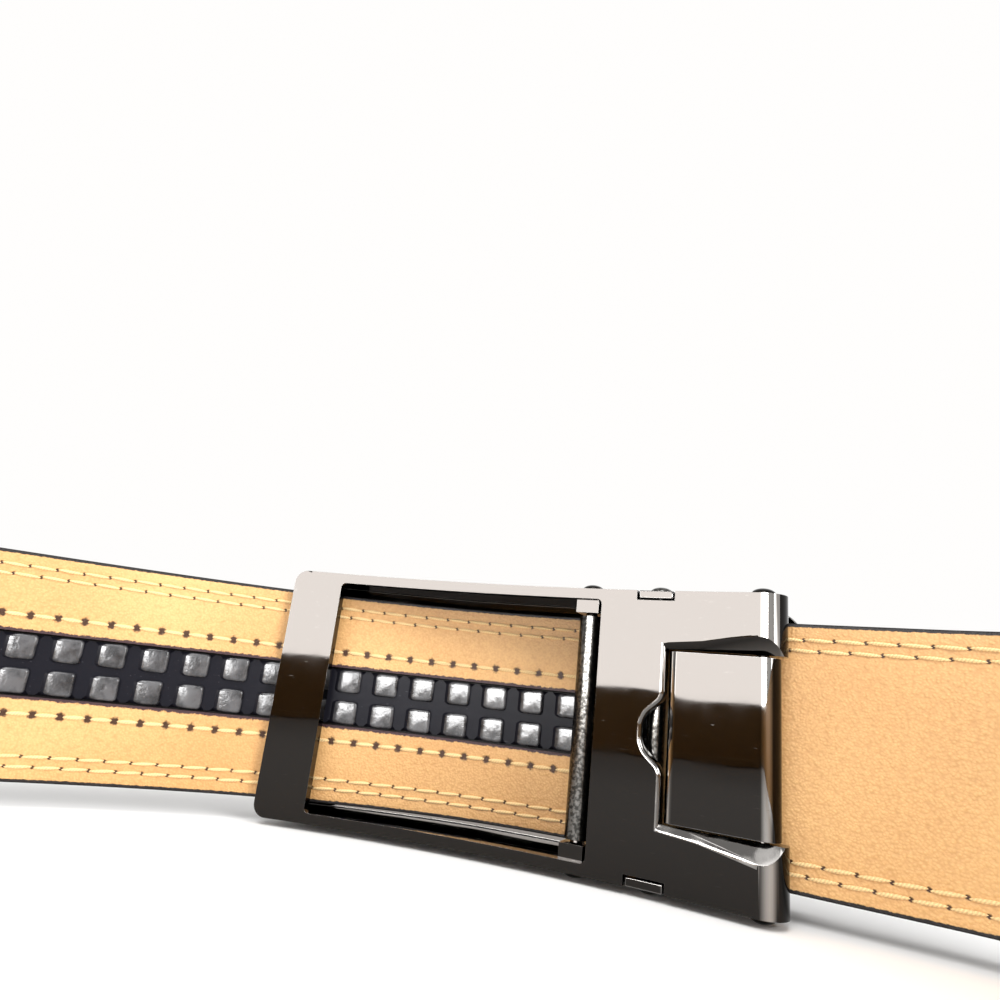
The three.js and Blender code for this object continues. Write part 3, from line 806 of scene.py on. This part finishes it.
# The pawl turns on its pin inside the window: a cast roller with a rough plated skin, and a
# broad tongue that tapers to the edge that drops behind a tooth.
tongue_half = 4.2 * mm
tongue_shoulder = 12 * mm
tongue_root = 1.7 * mm
tongue_tip = 1.1 * mm
tip_at = Vector((pawl_pin_at + 4.4 * mm, 10.569 * mm))
roller_span = (-roller_half, roller_half)
pawl = rod("pawl_cast", pawl_pin_at, pawl_pin_depth, roller_radius, roller_span, 64)
pawl_arm = tip_at - Vector((pawl_pin_at, pawl_pin_depth))
arm_angle = math.atan2(pawl_arm.y, pawl_arm.x)
tongue_thickness = (-tongue_root / 2, tongue_root / 2)
tongue_span = (-tongue_shoulder, tongue_shoulder)
tongue = block("tongue", (0, pawl_arm.length), tongue_thickness, tongue_span)
for vert in tongue.data.vertices:
    if vert.co.x > pawl_arm.length / 2:
        vert.co.y *= tongue_tip / tongue_root
past_shoulder = (0.6 * pawl_arm.length, plate_end)
for side in (-1, 1):
    beside = on_side(side, tongue_half, plate_half)
    cut(tongue, block("shoulder", past_shoulder, (-3 * mm, 3 * mm), beside))
tongue.data.transform(
    Matrix.Translation((pawl_pin_at, pawl_pin_depth, 0)) @ Matrix.Rotation(arm_angle, 4, "Z")
)
weld(pawl, tongue)
cut(pawl, block("tip_face", (0, plate_end), (tip_at.y, 30 * mm), plate_span))
soften(pawl, 0.2 * mm)
bend_on_buckle(pawl)
pawl.data.materials.append(rough_nickel)
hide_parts("pawl")
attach(pawl, "pawl")

# The clamp flap swings on its pin at the buckle's end and locks the strap's fixed end. It is
# cast in one piece: a flat leaf with a rounded free edge, and a barrel round the pin.
barrel_radius = 2.3 * mm
barrel_top = flap_pin_depth - barrel_radius
flap_span = (-flap_half, flap_half)
leaf = block("clamp_flap_cast", (flap_edge, flap_pin_at), (0, flap_wall), flap_span)
slice_along(leaf, flap_edge, flap_pin_at)
for vert in leaf.data.vertices:
    vert.co.y += flap_top + (barrel_top - flap_top) * (vert.co.x - flap_edge) / flap_length


def free_edge(at, way):
    """The flap's edge that a finger lifts, on the face towards the body."""
    return at.x < flap_edge + 0.01 * mm and at.y < mm and abs(way.z) > 0.9


round_edges(leaf, 1.3 * mm, free_edge, 8)
weld(leaf, rod("barrel", flap_pin_at, flap_pin_depth, barrel_radius, flap_span, 64))
plate_with_nickel(leaf)
soften(leaf, 0.25 * mm, edge_finish=1)
# Painted highlight bands on the flap's rounded free edge and its barrel.
mark_painted_highlight(leaf, flap_edge - mm, plate_end + mm)
bend_on_buckle(leaf)
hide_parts("clamp_flap")
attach(leaf, "flap")

# The clamp bed is a bent steel sheet between the fixed end and the free end of the strap. It
# hangs on the clamp bar, inside the buckle, where little of it shows.
clamp_bed = bpy.data.objects["clamp_bed"]
clamp_bed.data.materials.clear()
clamp_bed.data.materials.append(dark_nickel)

# The outer leather is the black smooth face of the belt. It is cut to the full width with a
# rounded free end, and stitched to the lining along both edges.
tail_tip = 14 * mm
slice_length = 3 * mm
slice_count = math.ceil(strap_length / slice_length)
stitch_rows = (13.7 * mm, 15.2 * mm)


def repeat(piece, count, pitch, **settings):
    """Sets copies of the piece in a row along the strap, each a pitch from the last."""
    row = {"use_relative_offset": False, "use_constant_offset": True, **settings}
    modify(piece, "ARRAY", count=count, constant_offset_displace=(pitch, 0, 0), **row)


def strap_layer(name, inner, outer, dips, edge_round):
    """One layer of the strap, laid out flat from the clamped end, with furrows along its rows."""
    half = strap_width / 2
    layer = block(name, (0, slice_length), (inner, outer), (-half, half))
    round_edges(layer, edge_round, lambda at, way: abs(way.x) > 0.9, 3)
    slice_at(layer, (0, 0, 1), dips)
    pick_edges(layer)
    mesh = bmesh.from_edit_mesh(layer.data)
    ends = [face for face in mesh.faces if abs(face.normal.x) > 0.9]
    bmesh.ops.delete(mesh, geom=ends, context="FACES_ONLY")
    bmesh.update_edit_mesh(layer.data)
    bpy.ops.object.mode_set(mode="OBJECT")
    for vert in layer.data.vertices:
        nearest = min(dips, key=lambda up: abs(up - vert.co.z))
        if abs(nearest - vert.co.z) < 0.01 * mm:
            on_inner = abs(vert.co.y - inner) < 0.01 * mm
            vert.co.y += dips[nearest] if on_inner else -dips[nearest]
    repeat(layer, slice_count, slice_length, use_merge_vertices=True, merge_threshold=0.01 * mm)
    pick_edges(layer)
    bpy.ops.mesh.select_non_manifold()
    bpy.ops.mesh.edge_face_add()
    bpy.ops.object.mode_set(mode="OBJECT")
    face_outwards(layer)
    return layer


def round_tip(layer):
    """Trims the free end to its rounded outline."""
    tip_start = strap_length - tail_tip
    keep = block("keep", (-mm, tip_start), (-5 * mm, 9 * mm), (-strap_width, strap_width))
    cylinder = bpy.ops.mesh.primitive_cylinder_add
    turn = (math.pi / 2, 0, 0)
    end = shape(cylinder, "end", vertices=128, radius=1, depth=14 * mm, rotation=turn)
    stretch = Matrix.Diagonal((tail_tip - 0.02 * mm, 1, strap_width / 2 + 0.01 * mm, 1))
    end.data.transform(Matrix.Translation((tip_start, 2 * mm, 0)) @ stretch)
    weld(keep, end)
    combine("INTERSECT", layer, keep)
    edit(
        layer,
        (bpy.ops.mesh.remove_doubles, {"threshold": 0.02 * mm}),
        (bpy.ops.mesh.fill_holes, {"sides": 4}),
    )


def lay_flat_map(piece):
    """Keeps each point's place along and up the strap as its UV, so that patterns follow it."""
    flat = piece.data.uv_layers.new(name="flat")
    for loop in piece.data.loops:
        place = piece.data.vertices[loop.vertex_index].co
        flat.data[loop.index].uv = (place.x, place.z)


def bend_on_strap(piece, smooth_angle=40):
    lay_flat_map(piece)
    bend(piece, strap_guide, smooth_angle)


# Needle holes: dark pricks along both rows at one distance from the middle of the strap.
stitch_pitch = 3.88 * mm
hole_inputs = [("Flat", "Vector", None), ("Row", "Float", 0.01), ("Phase", "Float", 0.0)]
needle_holes, holes_in, holes_out = effect(
    "needle_holes", [*hole_inputs, ("Size", "Float", 0.0004)], [("Mask", "Float")]
)
tree = needle_holes
flat = add(tree, "SeparateXYZ", _0=holes_in.outputs["Flat"])
turns = maths(tree, "DIVIDE", flat.outputs[0], stitch_pitch)
turns = maths(tree, "FRACT", maths(tree, "ADD", turns, holes_in.outputs["Phase"]))
off_along = maths(tree, "MULTIPLY", maths(tree, "SUBTRACT", turns, 0.5), stitch_pitch)
off_across = maths(tree, "ABSOLUTE", flat.outputs[1])
off_across = maths(tree, "SUBTRACT", off_across, holes_in.outputs["Row"])
ragged = add(tree, "TexNoise", Vector=holes_in.outputs["Flat"], Scale=2200.0, Detail=1.0)
away = maths(tree, "MULTIPLY", off_across, off_across)
away = maths(tree, "SQRT", maths(tree, "MULTIPLY_ADD", off_along, off_along, away))
away = maths(tree, "DIVIDE", away, holes_in.outputs["Size"])
away = maths(tree, "ADD", away, maths(tree, "MULTIPLY", ragged, 0.9))
feed(tree, holes_out.inputs["Mask"], between(tree, away, 1.0, 1.6, 1.0, 0.0))

# Leather grain: small soft pebbles with finer creases between them.
leather_grain, grain_in, grain_out = effect(
    "leather_grain",
    [("Flat", "Vector", None), ("Grain", "Float", 1700.0)],
    [("Height", "Float"), ("Shade", "Float")],
)
tree = leather_grain
place = grain_in.outputs["Flat"]
soft = {"feature": "SMOOTH_F1"}
pebbles = add(
    tree, "TexVoronoi", soft, Vector=place, Scale=grain_in.outputs["Grain"], Smoothness=0.6
)
creases = add(tree, "TexNoise", Vector=place, Scale=900.0, Detail=5.0, Roughness=0.65)
sunk = maths(tree, "MULTIPLY", pebbles.outputs["Distance"], 0.8)
height = maths(tree, "SUBTRACT", creases, sunk)
feed(tree, grain_out.inputs["Height"], height)
broad = add(tree, "TexNoise", Vector=place, Scale=30.0, Detail=1.0)
feed(tree, grain_out.inputs["Shade"], maths(tree, "MULTIPLY_ADD", height, 0.6, broad))

# Black leather, smooth and a little glossy, and the black paint of the strap's edges.
black_leather = finish_named("black_leather", (0.014, 0.013, 0.012), 0.42)
tree = black_leather.node_tree
grain = placed(tree, leather_grain, Flat=add(tree, "UVMap", {"uv_map": "flat"}), Grain=1500.0)
shade = grain.outputs["Shade"]
on_shader(tree, "Base Color", mixed(tree, shade, (0.006, 0.0055, 0.005, 1), (0.022, 0.02, 0.019, 1)))
on_shader(tree, "Roughness", between(tree, shade, 0.0, 1.0, 0.36, 0.5))
on_shader(tree, "Specular IOR Level", 0.07)
bumpy(tree, 0.35, 0.08 * mm, grain.outputs["Height"])

edge_paint = finish_named("edge_paint", (0.012, 0.011, 0.011), 0.38)
tree = edge_paint.node_tree
coat = add(tree, "TexNoise", Vector=add(tree, "UVMap", {"uv_map": "flat"}), Scale=700.0, Detail=3.0)
on_shader(tree, "Base Color", mixed(tree, coat, (0.005, 0.005, 0.005, 1), (0.022, 0.02, 0.02, 1)))
on_shader(tree, "Roughness", between(tree, coat, 0.3, 0.7, 0.3, 0.5))
on_shader(tree, "Specular IOR Level", 0.07)
bumpy(tree, 0.4, 0.1 * mm, coat)


def paint_edges(layer):
    """Gives the cut edge all round the strap its black paint, and leaves the slot as it is."""
    layer.data.materials.append(edge_paint)
    for face in layer.data.polygons:
        at = face.center
        if abs(face.normal.y) < 0.8 and (abs(at.z) > 7 * mm or at.x > strap_length - tail_tip):
            face.material_index = 1


row_middle = sum(stitch_rows) / 2
edge_dips = {}
for side in (-1, 1):
    for off, depth in ((-2.6, 0), (-1.2, 0.07), (0, 0.12), (1.2, 0.07)):
        edge_dips[side * (row_middle + off * mm)] = depth * mm
outer_leather = strap_layer("outer_leather", lining_wall + gap, strap_wall, edge_dips, 0.35 * mm)
for vert in outer_leather.data.vertices:
    vert.co.y = max(vert.co.y, lining_wall + gap)
round_tip(outer_leather)
outer_leather.data.materials.append(black_leather)
paint_edges(outer_leather)
bend_on_strap(outer_leather)
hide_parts("strap_outer")
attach(outer_leather, "belt")

# The lining is the tan leather that lies against the body. Its edges are painted black, and a
# long slot in its middle lets the ratchet track through.
track_half = 4.6 * mm
tooth_pitch = 6.5 * mm
tooth_count = 57
track_start = 719.973 * mm
track_stop = 1093.723 * mm
track_row = 7.5 * mm
tan_leather = finish_named("tan_leather", (0.72, 0.44, 0.19), 0.55)
tree = tan_leather.node_tree
flat_map = add(tree, "UVMap", {"uv_map": "flat"})
grain = placed(tree, leather_grain, Flat=flat_map, Grain=2900.0)
share = between(tree, grain.outputs["Shade"], 0.1, 1.1)
tan = mixed(tree, share, (0.5, 0.27, 0.1, 1), (0.68, 0.41, 0.17, 1))
flat = add(tree, "SeparateXYZ", _0=flat_map)
along = flat.outputs[0]
off_middle = maths(tree, "ABSOLUTE", flat.outputs[1])

# The needle holes: bold ones along the track, small ones along both rows at the edges.
in_run = maths(tree, "GREATER_THAN", along, track_start - gap - mm)
before_stop = maths(tree, "LESS_THAN", along, track_stop + gap + mm)
in_run = maths(tree, "MULTIPLY", in_run, before_stop)
holes = placed(tree, needle_holes, Flat=flat_map, Row=track_row, Phase=0.5, Size=0.74 * mm)
holes = maths(tree, "MULTIPLY", holes, in_run)
for row, phase in zip(stitch_rows, (0.5, 0.0)):
    prick = placed(tree, needle_holes, Flat=flat_map, Row=row, Phase=phase, Size=0.34 * mm)
    holes = maths(tree, "MAXIMUM", holes, prick)
tan = mixed(tree, holes, tan, (0.05, 0.02, 0.008, 1))

# The dark ragged rim of the slot, and the line of paint that runs over from the strap's edge.
fray = add(tree, "TexNoise", Vector=flat_map, Scale=1400.0, Detail=3.0, Roughness=0.7)
from_slot = maths(tree, "SUBTRACT", off_middle, track_half + gap)
from_slot = maths(tree, "SUBTRACT", from_slot, maths(tree, "MULTIPLY", fray, 0.9 * mm))
slot_rim = between(tree, from_slot, -0.12 * mm, 0.12 * mm, 1.0, 0.0)
slot_rim = maths(tree, "MULTIPLY", slot_rim, in_run)
tan = mixed(tree, slot_rim, tan, (0.045, 0.022, 0.025, 1))
from_edge = maths(tree, "SUBTRACT", strap_width / 2, off_middle)
paint_line = maths(tree, "MULTIPLY_ADD", fray, 0.4 * mm, 0.3 * mm)
past_line = maths(tree, "SUBTRACT", from_edge, paint_line)
painted = between(tree, past_line, -0.05 * mm, 0.1 * mm, 1.0, 0.0)
on_shader(tree, "Base Color", mixed(tree, painted, tan, (0.014, 0.012, 0.012, 1)))
on_shader(tree, "Specular IOR Level", 0.15)
pricked = maths(tree, "MULTIPLY", holes, 0.6)
bumpy(tree, 0.8, 0.12 * mm, maths(tree, "SUBTRACT", grain.outputs["Height"], pricked))
lining = strap_layer("lining_leather", 0, lining_wall, edge_dips, 0.25 * mm)
for vert in lining.data.vertices:
    if vert.co.y > lining_wall / 2:
        vert.co.y = min(lining_wall, vert.co.y + 0.2 * mm)
round_tip(lining)
slot_half = track_half + gap
slot_run = (track_start - gap, track_stop + gap)
cut(lining, block("slot", slot_run, (-mm, 4 * mm), (-slot_half, slot_half)))
edit(lining, (bpy.ops.mesh.fill_holes, {"sides": 8}))
lining.data.materials.append(tan_leather)
paint_edges(lining)
bend_on_strap(lining)
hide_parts("strap_lining")
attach(lining, "belt")

# The ratchet track is moulded in one piece in a hard black plastic: two rows of teeth on a thin
# base, with a groove between the rows. It is sewn in between the two leathers.
track_base = 0.6 * mm
track_sunk = 0.1 * mm
tooth_length = 4.5 * mm
tooth_slope = 0.9 * mm
row_gap = 1.3 * mm
base_face = lining_wall - track_base
tooth_low = (tooth_pitch - tooth_length) / 2
tooth_high = (tooth_pitch + tooth_length) / 2
track_shoulder = 0.05 * mm
track_span = (-track_half, track_half)
track = block("ratchet_track_moulded", (0, tooth_pitch), (base_face, lining_wall), track_span)
slice_at(track, (1, 0, 0), (tooth_low, tooth_high))
row_stop = track_half - track_shoulder
slice_at(track, (0, 0, 1), (row_gap / 2, -row_gap / 2, row_stop, -row_stop))
pick(track)
bpy.ops.object.mode_set(mode="EDIT")
bpy.ops.mesh.select_mode(type="FACE")
bpy.ops.mesh.select_all(action="DESELECT")
mesh = bmesh.from_edit_mesh(track.data)
for face in mesh.faces:
    at = face.calc_center_median()
    over_row = row_gap / 2 < abs(at.z) < row_stop
    face.select = face.normal.y < -0.9 and tooth_low < at.x < tooth_high and over_row
bmesh.update_edit_mesh(track.data)
bpy.ops.mesh.extrude_region_move(TRANSFORM_OT_translate={"value": (0, track_sunk - base_face, 0)})
bpy.ops.object.mode_set(mode="OBJECT")
tooth_draft = 0.12 * mm
for vert in track.data.vertices:
    if vert.co.y < base_face - 0.1 * mm:
        side = math.copysign(1, vert.co.z)
        vert.co.x += tooth_slope if vert.co.x < tooth_pitch / 2 else -tooth_draft
        vert.co.z += -side * tooth_draft if abs(vert.co.z) > 2 * mm else side * tooth_draft


def tooth_flank(at, way):
    return track_sunk < at.y < base_face and abs(way.y) > 0.25


round_edges(track, 0.6 * mm, tooth_flank, 4)
round_edges(track, 0.35 * mm, lambda at, way: at.y < track_sunk + 0.02 * mm, 3)
repeat(track, tooth_count + 1, tooth_pitch)


def between_teeth(face):
    """The walls inside the base, where one tooth's share of it meets the next."""
    share = face.calc_center_median().x / tooth_pitch
    in_wall = abs(face.normal.x) > 0.999 and abs(share - round(share)) < 1e-4
    return in_wall and 0.5 < share < tooth_count + 0.5


pick_edges(track)
mesh = bmesh.from_edit_mesh(track.data)
bmesh.ops.delete(mesh, geom=[face for face in mesh.faces if between_teeth(face)], context="FACES")
bmesh.update_edit_mesh(track.data)
bpy.ops.object.mode_set(mode="OBJECT")
edit(track, (bpy.ops.mesh.remove_doubles, {"threshold": 0.01 * mm}))

# Black plastic with a faint bloom, and the tops of the teeth, a lighter grey that is partly wear by the
# pawl and partly a painted highlight.
track_plastic = finish_named("track_plastic", (0.009, 0.009, 0.013), 0.34)
tree = track_plastic.node_tree
place = add(tree, "TexCoord").outputs["Object"]
wear = placed(tree, fine_wear, Place=place, Speck_Size=0.05, Speck_Share=0.2)
marks = maths(tree, "MULTIPLY", wear.outputs["Scratches"], 0.2)
marks = maths(tree, "MAXIMUM", marks, maths(tree, "MULTIPLY", wear.outputs["Specks"], 0.6))
on_shader(tree, "Base Color", mixed(tree, marks, (0.009, 0.009, 0.013, 1), (0.16, 0.16, 0.18, 1)))
on_shader(tree, "Roughness", maths(tree, "MULTIPLY_ADD", marks, 0.4, 0.34))
on_shader(tree, "Specular IOR Level", 0.04)
flow = add(tree, "TexNoise", Vector=place, Scale=420.0, Detail=2.0)
bumpy(tree, 0.3, 0.1 * mm, flow)

tooth_tops = finish_named("tooth_tops", (0.04, 0.04, 0.042), 0.24)
tree = tooth_tops.node_tree
place = add(tree, "TexCoord").outputs["Object"]
wear = placed(tree, fine_wear, Place=place, Speck_Size=0.05, Speck_Share=0.3)
# Patches of the lighter grey on the tops: partly wear, partly a painted highlight.
top_wear_and_highlight = add(tree, "TexNoise", Vector=place, Scale=330.0, Detail=4.0, Roughness=0.6)
top_wear_and_highlight = between(tree, top_wear_and_highlight, 0.36, 0.66)
lines = maths(tree, "MULTIPLY", wear.outputs["Scratches"], 0.4)
top_wear_and_highlight = maths(tree, "ADD", top_wear_and_highlight, lines, clamp=True)
on_shader(tree, "Base Color", mixed(tree, top_wear_and_highlight, (0.012, 0.012, 0.014, 1), (0.08, 0.08, 0.085, 1)))
bumpy(tree, 0.4, 0.08 * mm, top_wear_and_highlight)
track.data.materials.append(track_plastic)
track.data.materials.append(tooth_tops)
near_top = track_sunk + 0.36 * mm
# The teeth's top faces get the lighter grey: partly wear, partly a painted highlight.
for face in track.data.polygons:
    if face.normal.y < -0.2 and face.center.y < near_top:
        face.material_index = 1
track.data.transform(Matrix.Translation((track_start, 0, 0)))
bend_on_strap(track, 32)
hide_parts("ratchet_track")
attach(track, "belt")

# The stitches are waxed thread: two close rows along both edges of the belt, and one thicker
# row on each side of the track. They are cream on the lining and black on the outer leather.
def thread_finish(name, colour):
    """Twisted thread: slanting strands, darker between them."""
    thread = finish_named(name, colour, 0.6)
    tree = thread.node_tree
    flat_map = add(tree, "UVMap", {"uv_map": "flat"})
    slanted = add(tree, "Mapping", Vector=flat_map, Rotation=(0, 0, 0.6))
    strands = {"bands_direction": "X"}
    twist = add(tree, "TexWave", strands, Vector=slanted, Scale=900.0, Distortion=1.5)
    dark = tuple(0.75 * c for c in colour)
    on_shader(tree, "Base Color", mixed(tree, twist, (*dark, 1), (*colour, 1)))
    on_shader(tree, "Specular IOR Level", 0.1)
    bumpy(tree, 0.6, 0.08 * mm, twist)
    return thread


cream_thread = thread_finish("cream_thread", (0.86, 0.62, 0.31))
black_thread = thread_finish("black_thread", (0.02, 0.019, 0.018))


def stitch_row(start, stop, depth, up, thickness, slant, sunk=0, share=0.49):
    """One row of stitches, each a stretched bead whose ends dip into the leather."""
    ball = bpy.ops.mesh.primitive_uv_sphere_add
    turn = (0, math.pi / 2, 0)
    row = shape(ball, "stitch_row", segments=8, ring_count=6, radius=1, rotation=turn)
    row.data.transform(Matrix.Diagonal((share * stitch_pitch, thickness, thickness, 1)))
    row.data.transform(Matrix.Rotation(slant, 4, "Y"))
    first = (math.ceil(start / stitch_pitch - 0.5) + 0.5 - 0.5 * sunk) * stitch_pitch
    row.data.transform(Matrix.Translation((first, depth, up)))
    repeat(row, math.floor((stop - first) / stitch_pitch) + 1, stitch_pitch)
    return row


def joined(name, rows):
    """Joins the rows into one piece."""
    bpy.ops.object.select_all(action="DESELECT")
    for row in rows:
        row.select_set(True)
    bpy.context.view_layer.objects.active = rows[0]
    bpy.ops.object.join()
    rows[0].name = name
    return rows[0]


def edge_rows(name, depth, thickness):
    """The two rows along each edge, the outer one half a stitch ahead and a little shorter."""
    rows = []
    for side in (-1, 1):
        for up, sunk, shorter in zip(stitch_rows, (0, 1), (10 * mm, 12 * mm)):
            stop = strap_length - tail_tip - shorter
            rows.append(stitch_row(4 * mm, stop, depth, side * up, thickness, 0.05 * side, sunk))
    return joined(name, rows)


sewn_face = 0.02 * mm
lining_stitches = edge_rows("lining_stitches", sewn_face, 0.27 * mm)
outer_stitches = edge_rows("outer_stitches", strap_wall - sewn_face, 0.28 * mm)
sewn_from = track_start - 6 * mm
sewn_to = track_stop + 4 * mm
track_rows = [
    stitch_row(sewn_from, sewn_to, 0, side * track_row, 0.34 * mm, 0.03 * side, share=0.42)
    for side in (-1, 1)
]
track_stitches = joined("track_stitches", track_rows)
for stitches, thread, slot_name in (
    (lining_stitches, cream_thread, "tan_leather"),
    (track_stitches, cream_thread, "tan_leather"),
    (outer_stitches, black_thread, "black_leather"),
):
    stitches.data.materials.append(thread)
    bend_on_strap(stitches)
    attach(stitches, "belt")

# The two guide lines have done their work. What is left is the belt, the table, the lights and
# the camera.
for guide in (buckle_guide, strap_guide):
    bpy.data.objects.remove(guide)
